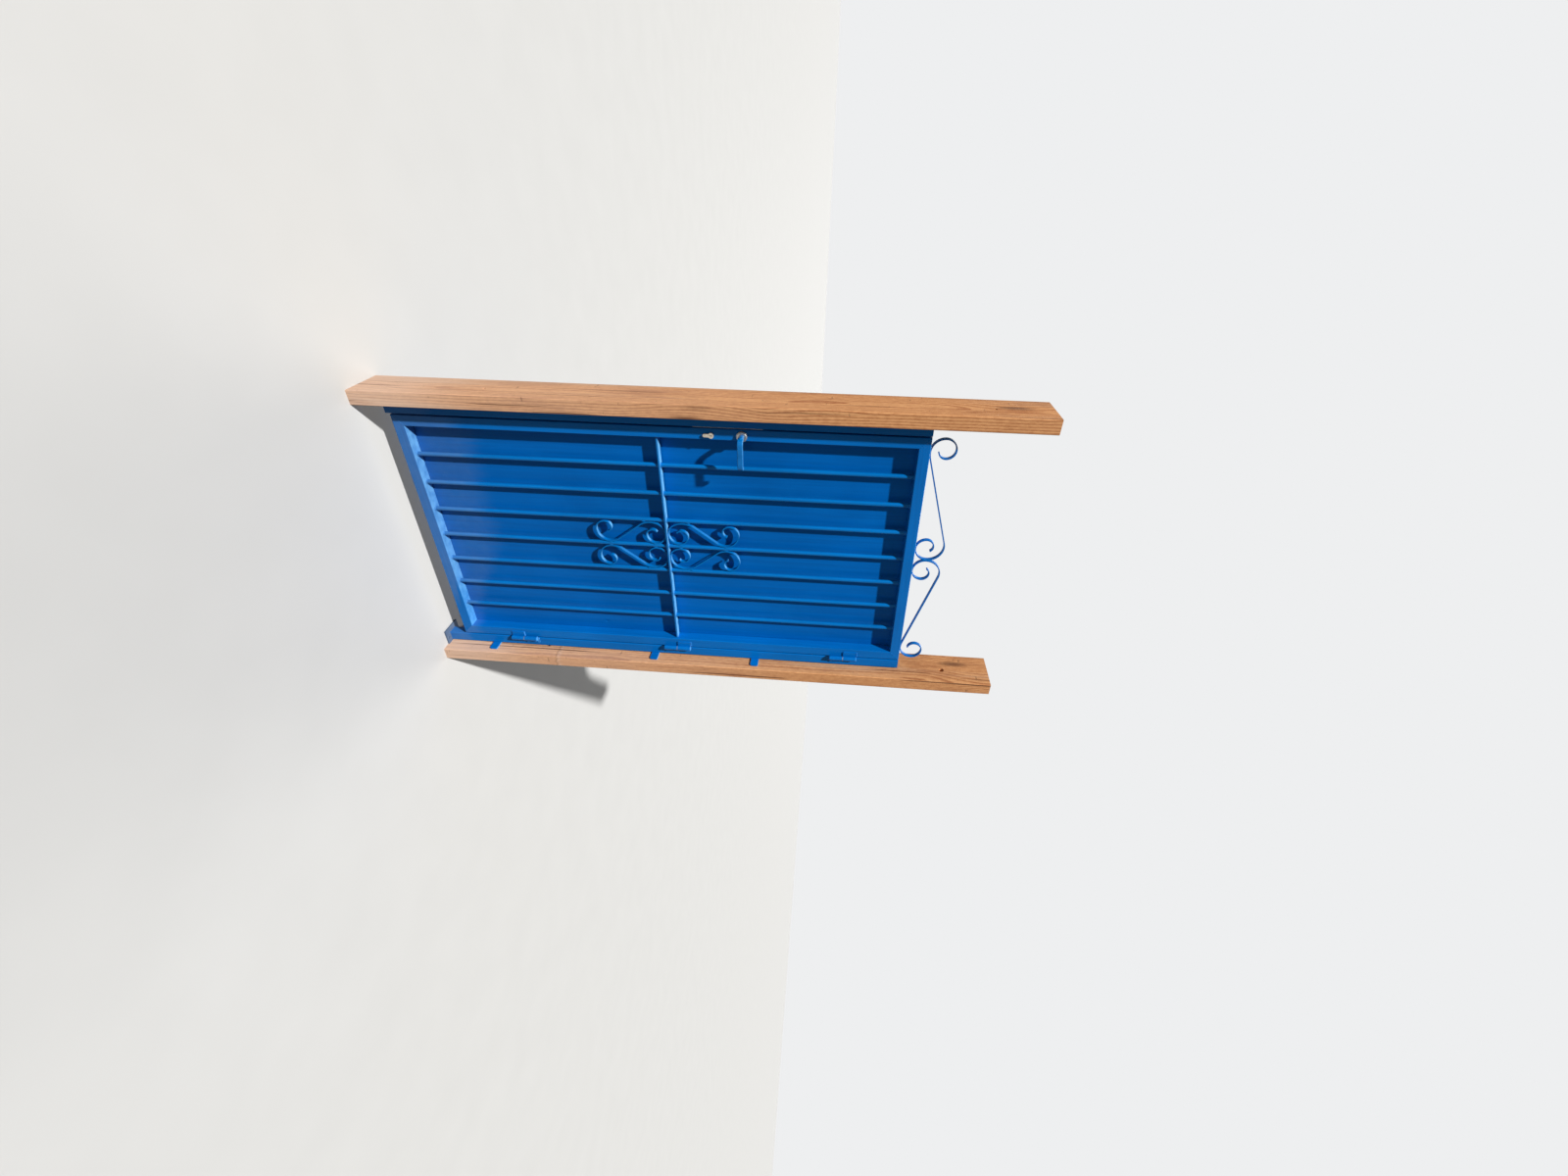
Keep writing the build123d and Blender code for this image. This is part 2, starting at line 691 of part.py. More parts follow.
def lock_cam():
    """Cam between the plugs, its nose pointing down at rest."""
    y0, y1 = bar_plane - cam_width / 2, bar_plane + cam_width / 2
    hub = rod(plug_radius, (lock_axis_x, y0, key_height), (lock_axis_x, y1, key_height))
    nose = block(lock_axis_x - 4, lock_axis_x + 4, y0, y1, key_height - cam_radius + 1, key_height)
    return hub + nose


# Rivets of the sheet, on the middle of the hinge stile and the rails, and close to the lock stile's inner side

rivet_right = leaf_side - tube_face / 2
rivet_low, rivet_high = leaf_bottom + tube_face / 2, leaf_top - tube_face / 2
rivet_rows = spaced(rivet_low, rivet_high, rivet_pitch)
clear_of_lock = [z for z in rivet_rows if not case_bottom < z < case_top]
rivet_points = [(rivet_left, z) for z in clear_of_lock] + [(rivet_right, z) for z in rivet_rows]
for height in (rivet_low, rivet_high):
    rivet_points += [(x, height) for x in spaced(rivet_left, rivet_right, rivet_pitch)[1:-1]]


# All pieces

parts = {}
parts["stile_lock_side"] = lock_stile()
parts["stile_hinge_side"] = pierced(stile(1))
parts["rail_top"] = pierced(rail(leaf_top, -1))
parts["rail_bottom"] = pierced(rail(leaf_bottom, 1))
parts["sheet_panel"] = sheet_panel()
parts["sheet_rivets"] = Compound(children=[rivet(point) for point in rivet_points])
parts["cross_bar"] = cross_bar()
for index in range(bar_count):
    parts[f"upright_bar_{index + 1}"] = upright_bar(index)

scroll = centre_scroll()
middle_height = Plane.XY.offset(cross_height)
parts["scroll_upper_left"] = scroll
parts["scroll_upper_right"] = mirrored_x(scroll)
parts["scroll_lower_left"] = mirror(scroll, about=middle_height)
parts["scroll_lower_right"] = mirrored_x(mirror(scroll, about=middle_height))
crown = crown_scroll()
parts["crown_left"] = crown
parts["crown_right"] = mirrored_x(crown)

pins, washers = [], []
for name, height, leaf_up in zip(("low", "middle", "top"), hinge_heights, (False, True, True)):
    on_leaf, on_post, pin, washer = hinge_parts(height, leaf_up)
    parts[f"leaf_knuckle_{name}"] = on_leaf
    parts[f"post_knuckle_{name}"] = on_post
    pins.append(pin)
    washers.append(washer)
parts["hinge_pins"] = Compound(children=pins)
parts["hinge_washers"] = Compound(children=washers)

parts["jamb_left"] = jamb(-1)
parts["jamb_right"] = jamb(1)
parts["hinge_post"] = hinge_post()
parts["lock_post"] = lock_post()
parts["foot_plate"] = foot_plate()
parts["cap_hinge_post"] = cap(post_middle_x, post_depth, leaf_top - cap_thickness, leaf_top)
parts["caps_lock_post"] = Compound(children=[
    cap(-post_middle_x, lock_post_depth, leaf_top - cap_thickness, leaf_top),
    cap(-post_middle_x, lock_post_depth, lock_post_bottom, lock_post_bottom + cap_thickness)])
for label, side in (("left", -1), ("right", 1)):
    for name, height in zip(("low", "middle", "top"), lug_heights):
        parts[f"fixing_lug_{label}_{name}"] = lug(side, height)
parts["lug_screws"] = Compound(children=[lug_screw(side, height) for side in (-1, 1) for height in lug_heights])
parts["stop_strip"] = stop_strip()

parts["lock_case"] = lock_case()
parts["lock_face_plate"] = face_plate()
parts["face_plate_screws"] = Compound(children=[plate_screw(height) for height in plate_screw_heights])
parts["cylinder_screw"] = cylinder_screw()
parts["latch_bolt"] = latch_bolt()
parts["dead_bolt"] = dead_bolt()
parts["follower"] = follower()
parts["spindle"] = spindle_hole(-lever_standoff + lever_bend + lever_thick,
                                sheet_back + lever_standoff - lever_bend - lever_thick)
parts["rose_outside"] = rose(0, -1)
parts["rose_inside"] = rose(sheet_back, 1)
parts["lever_outside"] = lever(0, -1)
parts["lever_inside"] = lever(sheet_back, 1)
parts["cylinder_body"] = cylinder_body()
parts["plug_outside"] = key_plug(-cylinder_reach, bar_plane - cam_width / 2)
parts["plug_inside"] = key_plug(sheet_back + cylinder_reach, bar_plane + cam_width / 2)
parts["lock_cam"] = lock_cam()

# The finished frame has its origin on the floor, midway between the jambs' faces and ends
shift = Pos(0, -bar_plane, 0)

os.makedirs("parts", exist_ok=True)
for name, piece in parts.items():
    solids = [shift * solid for solid in piece.solids()]
    export_step(solids[0] if len(solids) == 1 else Compound(children=solids), f"parts/{name}.step")
print("nodes", len(parts), "of at most 60")
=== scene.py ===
import math

import bpy
import numpy as np
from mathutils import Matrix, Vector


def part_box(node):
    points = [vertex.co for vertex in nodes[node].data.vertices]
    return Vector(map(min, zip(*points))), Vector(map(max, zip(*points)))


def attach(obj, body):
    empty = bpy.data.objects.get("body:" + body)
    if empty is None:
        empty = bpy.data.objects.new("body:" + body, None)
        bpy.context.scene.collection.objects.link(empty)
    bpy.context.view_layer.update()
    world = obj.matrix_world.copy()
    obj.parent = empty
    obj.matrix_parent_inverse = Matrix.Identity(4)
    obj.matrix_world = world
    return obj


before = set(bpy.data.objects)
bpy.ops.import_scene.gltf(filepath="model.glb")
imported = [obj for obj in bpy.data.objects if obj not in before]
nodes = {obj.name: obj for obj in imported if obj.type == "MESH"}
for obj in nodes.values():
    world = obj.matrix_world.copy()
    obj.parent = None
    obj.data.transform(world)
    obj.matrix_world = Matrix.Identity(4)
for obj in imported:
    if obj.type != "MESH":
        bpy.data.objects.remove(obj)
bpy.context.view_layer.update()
print("stage: frame loaded,", len(nodes), "nodes")


# Shader maths: a socket that can be added, multiplied and raised like a number

class Flow:
    def __init__(self, tree, out):
        self.tree, self.out = tree, out

    def node(self, kind, settings=None, sockets=None, result=0):
        # any node: its settings first, then the values or links of its sockets
        made = self.tree.nodes.new(kind)
        for key, value in (settings or {}).items():
            if key == "stops":
                ramp = made.color_ramp
                while len(ramp.elements) < len(value):
                    ramp.elements.new(1.0)
                for element, (place, shade) in zip(ramp.elements, value):
                    element.position, element.color = place, shade
            else:
                setattr(made, key, value)
        for key, value in (sockets or {}).items():
            if isinstance(value, Flow):
                self.tree.links.new(value.out, made.inputs[key])
            else:
                made.inputs[key].default_value = value
        return Flow(self.tree, made.outputs[result])

    def maths(self, operation, first, second=0.0, clamp=False):
        settings = {"operation": operation, "use_clamp": clamp}
        return self.node("ShaderNodeMath", settings, {0: first, 1: second})

    def __add__(self, other):
        return self.maths("ADD", self, other)

    def __sub__(self, other):
        return self.maths("SUBTRACT", self, other)

    def __rsub__(self, other):
        return self.maths("SUBTRACT", other, self)

    def __mul__(self, other):
        return self.maths("MULTIPLY", self, other)

    def __truediv__(self, other):
        return self.maths("DIVIDE", self, other)

    def __rtruediv__(self, other):
        return self.maths("DIVIDE", other, self)

    def __pow__(self, other):
        return self.maths("POWER", self, other)

    def __rpow__(self, other):
        return self.maths("POWER", other, self)

    __radd__, __rmul__ = __add__, __mul__

    def held(self):
        # kept between 0 and 1
        return self.maths("ADD", self, 0.0, clamp=True)

    def smooth(self, low, high):
        # 0 below low, 1 above high, an S curve between
        settings = {"interpolation_type": "SMOOTHSTEP"}
        return self.node("ShaderNodeMapRange", settings, {0: self, 1: low, 2: high})

    def ramp(self, stops):
        # colour along (place, colour) stops
        return self.node("ShaderNodeValToRGB", {"stops": stops}, {0: self})

    def stretched(self, factors, shift=(0, 0, 0)):
        scaled = self.node("ShaderNodeVectorMath", {"operation": "MULTIPLY"}, {0: self, 1: factors})
        return self.node("ShaderNodeVectorMath", {"operation": "ADD"}, {0: scaled, 1: shift})

    def shifted(self, shift):
        return self.node("ShaderNodeVectorMath", {"operation": "ADD"}, {0: self, 1: shift})

    def axes(self):
        split = self.node("ShaderNodeSeparateXYZ", None, {0: self}).out.node
        return [Flow(self.tree, out) for out in split.outputs]

    def noise(self, scale, detail=3.0, rough=0.5):
        sockets = {"Vector": self, "Scale": scale, "Detail": detail, "Roughness": rough}
        return self.node("ShaderNodeTexNoise", None, sockets, "Fac")

    def cells(self, scale):
        # distance to the middle of the nearest cell
        return self.node("ShaderNodeTexVoronoi", None, {"Vector": self, "Scale": scale}, "Distance")

    def blend(self, first, second):
        # colour mix with this value as its factor
        sockets = {0: self, 6: first, 7: second}
        return self.node("ShaderNodeMix", {"data_type": "RGBA"}, sockets, 2)

    def bump(self, strength, distance, under=None):
        sockets = {"Strength": strength, "Distance": distance, "Height": self}
        if under:
            sockets["Normal"] = under
        return self.node("ShaderNodeBump", None, sockets)


def rgb(red, green, blue):
    # a colour written as it looks, 0 to 255, turned into the linear one that the shader takes
    parts = [value / 255 for value in (red, green, blue)]
    return (*[p / 12.92 if p <= 0.04045 else ((p + 0.055) / 1.055) ** 2.4 for p in parts], 1.0)


def newFinish(name, paintIn, fixed):
    # a material on one Principled shader: paintIn gives what varies, fixed gives plain values
    material = bpy.data.materials.new(name)
    material.use_nodes = True
    tree = material.node_tree
    tree.nodes.clear()
    place = Flow(tree, tree.nodes.new("ShaderNodeTexCoord").outputs["Object"])
    shader = place.node("ShaderNodeBsdfPrincipled", None, {**fixed, **paintIn(place)})
    end = tree.nodes.new("ShaderNodeOutputMaterial")
    tree.links.new(shader.out, end.inputs[0])
    return material


finishes = {}


# Blue enamel, brushed on by hand, milky with splashed dust near the floor, with a painted highlight
# on the faces that look up

bluePaint = {
    "sheet": (rgb(0, 84, 156), rgb(0, 98, 178)),    # two tones each, mixed by the brush strokes
    "frame": (rgb(0, 90, 162), rgb(0, 108, 190)),
    "bar": (rgb(0, 92, 158), rgb(2, 112, 188)),
    "foot": (rgb(30, 56, 92), rgb(52, 78, 112)),
    "chalk": rgb(10, 112, 186),
    "chalkAmount": 0.3,
    # painted highlight: the paler blue that faces looking up are mixed towards, in place of light
    # from above
    "paintedTopLight": rgb(112, 188, 238),
    "dust": rgb(158, 166, 172),
    "rust": rgb(96, 60, 38),
    "glossTint": rgb(120, 200, 255),
    "glossLevel": 0.2,
    "coatRoughness": 0.1,
    "strokeDepth": 0.0005,    # metres
    "dentRadius": 0.009,
    "dentDepth": 0.0009,
    "cloudScale": 2.3,        # pattern scales, per metre
    "sagScale": 3.2,
    "patchScale": 7,
    "rustScale": 9,
    "mottleScale": 38,
    "chipScale": 46,
    "speckScale": 210,
    "peelScale": 330,
}

# how the brush marks stretch on each axis: a small number is the way that the brush went
brushMarks = {
    "sheet": (120, 120, 3),
    "upright": (160, 160, 5),
    "level": (5, 160, 160),
    "round": (90, 90, 30),
    "lever": (40, 60, 60),
}

# dustTop: how high the dust was splashed; sag: depth of the slow waves in thin metal; dent: the
# middle of a dent, all in metres; dust and chips: how much of each; dull: roughness where the
# paint is fresh; coat: gloss on top; paintedTopLightShare: how strongly the faces that look up are
# painted paler, a painted highlight that stands in for light from above
enamels = {
    "sheetEnamel": dict(tone="sheet", marks="sheet", dustTop=0.31, dust=0.075, sag=0.004, coat=0.0,
                        dent=(0.359, 0.020, 0.619)),
    "stileEnamel": dict(tone="frame", marks="upright", dustTop=0.3, dust=0.12, sag=0.0006,
                        chips=0.15, dull=0.3),
    "railEnamel": dict(tone="frame", marks="level", dustTop=0.16, dust=0.14, sag=0.0006,
                       chips=0.25, coat=0.1),
    "crossEnamel": dict(tone="bar", marks="level", dustTop=0.2, dust=0.1, sag=0.0004,
                        dull=0.2, coat=0.2, paintedTopLightShare=1.3),
    "barEnamel": dict(tone="bar", marks="upright", dustTop=0.3, dust=0.14, sag=0.0002, dull=0.2),
    "scrollEnamel": dict(tone="bar", marks="round", dustTop=0.2, dust=0.2, sag=0.0002,
                         chips=0.1, dull=0.2, coat=0.0, paintedTopLightShare=0.6),
    "crownEnamel": dict(tone="frame", marks="round", dustTop=0.2, dust=0.2, sag=0.0002,
                        dull=0.42, coat=0.0, paintedTopLightShare=0.0),
    "postEnamel": dict(tone="frame", marks="upright", dustTop=0.2, dust=0.1, sag=0.0006,
                       chips=0.4, dull=0.3),
    "footEnamel": dict(tone="foot", marks="round", dustTop=0.3, dust=0.3, sag=0.0002,
                       chips=1.0, dull=0.5, coat=0.0, paintedTopLightShare=0.0),
    "fittingEnamel": dict(tone="frame", marks="round", dustTop=0.1, dust=0.45, sag=0.0002,
                          chips=0.6, dull=0.3),
    "leverEnamel": dict(tone="bar", marks="lever", dustTop=0.2, dust=0.1, sag=0.0001,
                        chips=0.4, dull=0.22, coat=0.2),
}


def enamel(name, tone, marks, dustTop, dust, sag, chips=0.0, dull=0.26, coat=0.05, paintedTopLightShare=0.5,
           dent=None):
    paint = bluePaint

    def paintIn(at):
        x, _, z = at.axes()
        clouds = at.noise(paint["cloudScale"], 4)
        patches = at.stretched((1, 1, 0.6), (3.1, 0.4, 7.7)).noise(paint["patchScale"], 5, 0.6)
        strokes = at.stretched(brushMarks[marks]).noise(1.0, 4, 0.6)
        peel = at.noise(paint["peelScale"], 2)
        mottle = at.noise(paint["mottleScale"], 4)
        shade = (clouds * 0.55 + strokes * 0.45).smooth(0.3, 0.7)
        colour = shade.blend(*paint[tone])
        faded = (patches.smooth(0.5, 0.78) * (0.5 + strokes * 0.5)).held()
        colour = (faded * paint["chalkAmount"]).blend(colour, paint["chalk"])
        # painted highlight: faces that look up are mixed towards a paler blue, as if light from
        # above fell on them
        tops = at.node("ShaderNodeTexCoord", None, None, "Normal").axes()[2].smooth(0.45, 0.95)
        bleachedAndPaintedLight = (tops * (strokes * 0.5 + mottle.smooth(0.1, 0.8)) * paintedTopLightShare).held()
        colour = bleachedAndPaintedLight.blend(colour, paint["paintedTopLight"])
        # the splashed zone is lower towards the hinges, and its edge wanders
        reach = dustTop - x.smooth(0.02, 0.34) * dustTop * 0.5
        low = (z + (clouds - 0.5) * 0.1 + (strokes - 0.5) * 0.09) / reach
        splash = (1.0 - low.smooth(0.72, 1.02)) * (0.45 + mottle * 0.75)
        specks = at.noise(paint["speckScale"], 3).smooth(0.66, 0.74) * (1.0 - low.smooth(0.3, 1.5))
        dusty = (splash * dust + specks * dust * 0.8).held()
        colour = dusty.blend(colour, paint["dust"])
        chipped = at.cells(paint["chipScale"]).smooth(0.085, 0.06)
        chipped = chipped * at.noise(paint["rustScale"], 2).smooth(0.6, 0.66) * chips
        colour = chipped.held().blend(colour, paint["rust"])
        roughness = dull + strokes * 0.12 + faded * 0.12 + dusty * 0.45 + chipped * 0.3
        relief = at.stretched((1, 1, 0.35)).noise(paint["sagScale"], 1).bump(1.0, sag)
        if dent:
            # a bowl: 0 at the middle of the dent, 1 outside it
            offset = at.shifted(tuple(-value for value in dent))
            away = at.node("ShaderNodeVectorMath", {"operation": "LENGTH"}, {0: offset}, "Value")
            bowl = away.smooth(0.001, paint["dentRadius"])
            relief = bowl.bump(1.0, paint["dentDepth"], relief)
        lumps = strokes * 0.7 + peel * 0.3 - chipped * 1.2
        relief = lumps.bump(0.6, paint["strokeDepth"], relief)
        return {"Base Color": colour, "Roughness": roughness.held(), "Normal": relief}

    return newFinish(name, paintIn, {
        "Coat Weight": coat,
        "Coat Roughness": paint["coatRoughness"],
        "Specular IOR Level": paint["glossLevel"] + 0.5 * coat,
        "Specular Tint": paint["glossTint"],
    })


for name, look in enamels.items():
    finishes[name] = enamel(name, **look)
print("stage: enamel mixed")


# Unplaned softwood, orange-brown where the sun falls, with rings, knots, fibres and checks

jambTimber = {
    "early": rgb(216, 158, 106),
    "late": rgb(152, 88, 48),
    "bleachedAndPaintedLight": rgb(236, 206, 184),
    "brown": rgb(134, 76, 44),
    "knot": rgb(84, 48, 28),
    "silver": rgb(176, 160, 142),
    "stain": rgb(86, 62, 46),
    "ringSpacing": 0.0065,    # metres
    "pithAside": 0.075,       # from the jamb's middle to the tree's
    "pithBehind": 0.02,
    "grainDepth": 0.0009,
    "gloss": 0.3,
    "silverAmount": 0.4,
    "blotchAmount": 0.5,
    "footBleach": 0.36,       # at the floor
    "lowBleach": 0.25,        # fading out at 1.5 m
    "knockAmount": 0.4,
    "tornAmount": 0.25,
    "knotAmount": 0.9,
    "checkAmount": 0.8,
    "resinAmount": 0.35,
}

# how fine each pattern of the wood is on X, Y and Z, per metre; the grain runs along Z
grain = {
    "bend": (5, 5, 0.9),
    "knot": (9, 9, 2.3),
    "broad": (14, 14, 0.8),
    "blotch": (17, 17, 3.4),
    "knock": (26, 26, 75),
    "resin": (30, 30, 2.2),
    "check": (95, 95, 1.3),
    "mottle": (150, 150, 60),
    "fibre": (420, 420, 7),
    "saw": (3, 3, 620),
}
jambs = {
    "left": {"seed": 1, "tearHeight": 2.6},    # above the jamb's end, so it has no torn line
    "right": {"seed": 3, "tearHeight": 0.43},
}


def sawnTimber(name, middleX, seed, tearHeight):
    wood = jambTimber

    def paintIn(at):
        moved = at.shifted((-middleX, 0.031 * seed, 0.37 * seed))
        x, y, _ = moved.axes()
        # rings round a pith beside the jamb, bent by slow waves and by the knots
        bend = moved.stretched(grain["bend"]).noise(1.0, 3)
        knotCells = moved.stretched(grain["knot"], (seed, 0, 0)).cells(1.0)
        knot = knotCells.smooth(0.2, 0.07)
        swirl = knotCells.smooth(0.55, 0.1)
        side, deep = x + wood["pithAside"], y - wood["pithBehind"]
        radius = (side * side + deep * deep) ** 0.5 + bend * 0.03 + swirl * 0.012
        phase = radius / wood["ringSpacing"]
        ring = phase.maths("FRACT", phase)
        band = ring.smooth(0.35, 0.95) * (1.0 - ring.smooth(0.95, 1.0))
        fibres = moved.stretched(grain["fibre"]).noise(1.0, 4, 0.65)
        broad = moved.stretched(grain["broad"]).noise(1.0, 3)
        mottle = moved.stretched(grain["mottle"]).noise(1.0, 3, 0.7)
        dark = (band * 0.6 + fibres * 0.35 + (mottle - 0.5) * 1.1).held()
        colour = dark.ramp(((0.0, wood["early"]), (1.0, wood["late"])))
        # weather: silver patches, brown blotches, bleached wood low down, knocks
        silver = broad.smooth(0.5, 0.72)
        colour = (silver * wood["silverAmount"]).blend(colour, wood["silver"])
        blotch = moved.stretched(grain["blotch"], (3, 8, 1)).noise(1.0, 4, 0.62)
        blotch = blotch.smooth(0.5, 0.74)
        colour = (blotch * wood["blotchAmount"]).blend(colour, wood["brown"])
        height = at.axes()[2]
        bleach = (1.0 - (height + (broad - 0.5) * 0.5).smooth(0.3, 1.5)) * wood["lowBleach"]
        footEdge = (height + (fibres - 0.5) * 0.2).smooth(0.06, 0.4)
        bleach = bleach + (1.0 - footEdge) * wood["footBleach"]
        colour = (bleach * (0.7 + fibres * 0.5)).held().blend(colour, wood["bleachedAndPaintedLight"])
        knocks = moved.stretched(grain["knock"], (1, 5, 2)).noise(1.0, 2)
        knocks = knocks.smooth(0.71, 0.75)
        colour = (knocks * wood["knockAmount"]).blend(colour, wood["stain"])
        # a torn line across the face, uneven with the fibres: light wood above a dark groove
        tear = height + (fibres - 0.5) * 0.034 + (bend - 0.5) * 0.05 - tearHeight
        torn = tear.smooth(-0.001, 0.002) * (1.0 - tear.smooth(0.006, 0.02))
        torn = torn * mottle.smooth(0.35, 0.6)
        groove = tear.smooth(-0.006, -0.003) * (1.0 - tear.smooth(-0.001, 0.002))
        colour = (torn * wood["tornAmount"]).blend(colour, wood["bleachedAndPaintedLight"])
        # knots, drying checks and resin
        colour = (knot * wood["knotAmount"]).blend(colour, wood["knot"])
        checks = moved.stretched(grain["check"], (0, 0, 4.2 * seed)).noise(1.0, 2)
        checks = checks.smooth(0.66, 0.7)
        cracks = (checks * wood["checkAmount"] + groove * 0.3).held()
        colour = cracks.blend(colour, wood["knot"])
        resin = moved.stretched(grain["resin"], (9, 2, 5)).noise(1.0, 4, 0.7)
        resin = resin.smooth(0.56, 0.75)
        colour = (resin * wood["resinAmount"]).blend(colour, wood["late"])
        sawLines = moved.stretched(grain["saw"]).noise(1.0, 1)
        relief = band * 0.35 + fibres * 0.5 + sawLines * 0.25 - checks * 1.4
        relief = relief - knocks * 0.5 - groove * 0.5 + knot * 0.3
        roughness = (0.78 + fibres * 0.14 - knot * 0.2).held()
        normal = relief.bump(0.7, wood["grainDepth"])
        return {"Base Color": colour, "Roughness": roughness, "Normal": normal}

    return newFinish(name, paintIn, {"Specular IOR Level": wood["gloss"]})


for side, look in jambs.items():
    low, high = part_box(f"jamb_{side}")
    finishes[f"timber_{side}"] = sawnTimber(f"timber_{side}", (low[0] + high[0]) / 2, **look)
print("stage: timber grown")


# Bare metals of the lock, the screws and the rivets

bareMetal = {
    "rose": dict(tone=rgb(172, 171, 168), dull=rgb(112, 108, 104), rough=0.26, turned=2600.0),
    "nickel": dict(tone=rgb(205, 196, 180), dull=rgb(136, 124, 108), rough=0.3, turned=3400.0),
    "zinc": dict(tone=rgb(170, 170, 166), dull=rgb(112, 100, 86), rough=0.42, turned=1500.0),
    "greased": dict(tone=rgb(150, 148, 142), dull=rgb(84, 72, 58), rough=0.36, turned=1800.0),
}
metalWear = {"spotScale": 240, "filmScale": 55, "latheDepth": 0.00012}


def turnedMetal(name, centre, tone, dull, rough, turned):
    # fine lathe rings round an axis along Y through the centre, turned waves of them per metre,
    # with dull weathered patches
    def paintIn(at):
        x, _, z = at.shifted((-centre[0], 0, -centre[1])).axes()
        radius = (x * x + z * z) ** 0.5
        sockets = {"W": radius * turned, "Scale": 1.0, "Detail": 2.0}
        rings = at.node("ShaderNodeTexNoise", {"noise_dimensions": "1D"}, sockets, "Fac")
        spots = at.noise(metalWear["spotScale"], 4, 0.6).smooth(0.52, 0.72)
        film = at.noise(metalWear["filmScale"], 3).smooth(0.4, 0.75)
        return {
            "Base Color": (spots * 0.6 + film * 0.35).held().blend(tone, dull),
            "Roughness": (rough + rings * 0.12 + film * 0.16 + spots * 0.2).held(),
            "Metallic": 1.0 - spots * 0.35,
            "Normal": (rings * 0.6 - spots * 0.8).bump(0.4, metalWear["latheDepth"]),
        }

    return newFinish(name, paintIn, {})


def axisOf(node):
    # X and Z of the line along Y through a node's middle
    low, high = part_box(node)
    return (low[0] + high[0]) / 2, (low[2] + high[2]) / 2


leverAxis, keyAxis = axisOf("rose_outside"), axisOf("plug_outside")
turnedRound = {"rose": leverAxis, "nickel": keyAxis, "zinc": (0, 0), "greased": leverAxis}
for name, centre in turnedRound.items():
    finishes[name] = turnedMetal(name, centre, **bareMetal[name])
print("stage: metals turned")


# Which finish each CAD node wears; the first fitting start of its name counts

wears = {
    "sheet_panel": "sheetEnamel", "sheet_rivets": "fittingEnamel", "stile": "stileEnamel",
    "rail": "railEnamel", "cross_bar": "crossEnamel", "upright_bar": "barEnamel",
    "scroll": "scrollEnamel", "crown": "crownEnamel", "leaf_knuckle": "fittingEnamel",
    "post_knuckle": "fittingEnamel", "jamb_left": "timber_left", "jamb_right": "timber_right",
    "hinge_post": "postEnamel", "lock_post": "postEnamel", "cap": "postEnamel",
    "foot_plate": "footEnamel", "fixing_lug": "fittingEnamel", "lug_screws": "fittingEnamel",
    "stop_strip": "postEnamel", "lever": "leverEnamel", "rose": "rose", "plug": "nickel",
    "cylinder_body": "nickel", "cylinder_screw": "zinc", "lock_face_plate": "zinc",
    "face_plate_screws": "zinc",
    "": "greased",    # pins, washers, spindle, bolts and the lock's works
}
for name, thing in nodes.items():
    chosen = next(finish for start, finish in wears.items() if name.startswith(start))
    for place in thing.material_slots:
        place.material = finishes[chosen]
print("stage: finishes on the nodes")


# Weld beads: tubes with a ripple like stacked coins, every one a closed shell

coins = {
    "sides": 12,          # faces round a bead
    "rows": 6,            # rows of faces per coin
    "depth": 0.14,        # of the ripple, as a share of the bead's radius
    "slowWave": 0.06,
    "fastWave": 0.05,
    "lean": 0.08,         # a ring's thicker sides
    "thinEnd": 0.35,
}


def bead(path, radii, lift, closed=False):
    # point = path(s) + r(s) * (cos a * side + sin a * up), with side and up square to the path;
    # an open bead ends in one point at each end
    path, radii = np.asarray(path, float), np.asarray(radii, float)
    if closed:
        tangent = np.roll(path, -1, 0) - np.roll(path, 1, 0)
    else:
        tangent = np.gradient(path, axis=0)
    tangent /= np.linalg.norm(tangent, axis=1, keepdims=True)
    up = np.broadcast_to(np.asarray(lift, float), path.shape)
    up = up - (up * tangent).sum(1, keepdims=True) * tangent
    up /= np.linalg.norm(up, axis=1, keepdims=True)
    side = np.cross(tangent, up)
    sides, count = coins["sides"], len(path)
    a = np.linspace(0, 2 * np.pi, sides, endpoint=False)[None, :, None]
    ring = np.cos(a) * side[:, None] + np.sin(a) * up[:, None]
    points = (path[:, None] + radii[:, None, None] * ring).reshape(-1, 3)
    step = np.arange(sides)
    near = (step + 1) % sides
    here = np.arange(count if closed else count - 1)[:, None] * sides
    beyond = (here + sides) % (count * sides)
    quads = np.stack([beyond + step, beyond + near, here + near, here + step], -1).reshape(-1, 4)
    triangles = np.empty((0, 3), int)
    if not closed:
        first, last = np.full(sides, len(points)), np.full(sides, len(points) + 1)
        tail = (count - 1) * sides
        triangles = np.vstack([np.stack([first, near, step], -1),
                               np.stack([last, tail + step, tail + near], -1)])
        tips = (path[0] - tangent[0] * radii[0] * 0.5, path[-1] + tangent[-1] * radii[-1] * 0.5)
        points = np.vstack([points, *tips])
    return points, quads, triangles


def straightBead(start, end, weld, lift, seed):
    # path = start + (end - start) * s, with radius = size * (1 - depth + depth * |sin of the
    # coins| + two waves), thinned at both ends
    start, end = np.asarray(start, float), np.asarray(end, float)
    length, size, pitch = np.linalg.norm(end - start), weld["size"], weld["pitch"]
    s = np.linspace(0, 1, max(int(length / pitch * coins["rows"]), 8))
    ripple = 1 - coins["depth"] + coins["depth"] * np.abs(np.sin(np.pi * s * length / pitch))
    waves = coins["slowWave"] * np.sin(17.3 * s + seed)
    waves = waves + coins["fastWave"] * np.sin(41.0 * s + 2.3 * seed)
    ends = np.clip(np.minimum(s, 1 - s) * length / size * 0.9 + coins["thinEnd"], 0, 1)
    return bead(start + (end - start) * s[:, None], size * (ripple + waves) * ends, lift)


